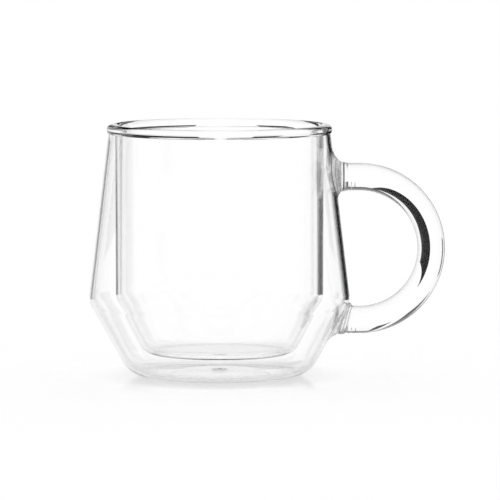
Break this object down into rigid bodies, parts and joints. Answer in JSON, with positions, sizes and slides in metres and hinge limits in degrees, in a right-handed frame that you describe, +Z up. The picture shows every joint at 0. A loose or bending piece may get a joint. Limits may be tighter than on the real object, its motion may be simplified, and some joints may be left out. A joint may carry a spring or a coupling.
{
  "type": "double walled glass mug",
  "caption": "Clear glass mug with a straight inner glass sealed inside a flared outer glass at the rim, and a solid glass rod bent into a C handle",
  "frame": {"origin": "centre of the flat ring that the mug stands on, on the axis of the two glasses", "axes": "+Z up along the axis of the two glasses, +X towards the handle"},
  "size_m": [0.1295, 0.0948, 0.0916],
  "materials": {
    "blown_glass": "polished",
    "melted_glass": "polished",
    "rod_glass": "polished"
  },
  "bodies": {
    "root": {"outer_shell": "blown_glass", "inner_liner": "blown_glass", "rim_bead": "melted_glass", "base_seal": "melted_glass", "handle": "rod_glass", "upper_weld": "melted_glass", "lower_weld": "melted_glass"}
  },
  "joints": []
}
